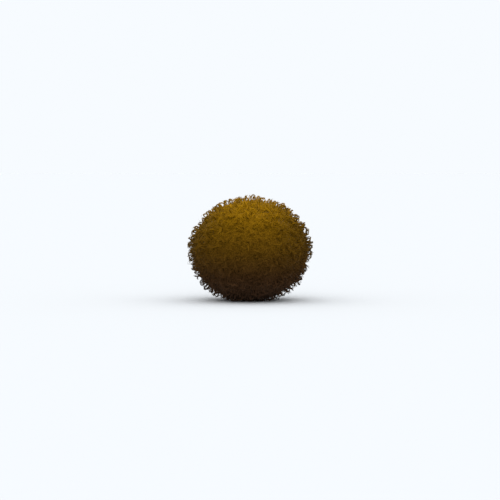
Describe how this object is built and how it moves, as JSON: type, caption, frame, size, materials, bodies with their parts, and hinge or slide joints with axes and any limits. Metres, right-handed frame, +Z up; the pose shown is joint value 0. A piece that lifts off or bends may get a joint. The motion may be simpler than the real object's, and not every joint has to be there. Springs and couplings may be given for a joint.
{
  "type": "marimo moss ball",
  "caption": "Slightly flattened ball of curly freshwater algae with hooked tufts all over it, lying loose in an aquarium or bowl on a small flat spot.",
  "frame": {"origin": "middle of the flat spot underneath, on the surface that the ball rests on", "axes": "+Z up through the ball's short axis, as it rests; X and Y across it, alike in every direction"},
  "size_m": [0.0626, 0.0626, 0.0526],
  "materials": {
    "moss": "matte"
  },
  "bodies": {
    "root": {"moss_ball": "moss"}
  },
  "joints": []
}
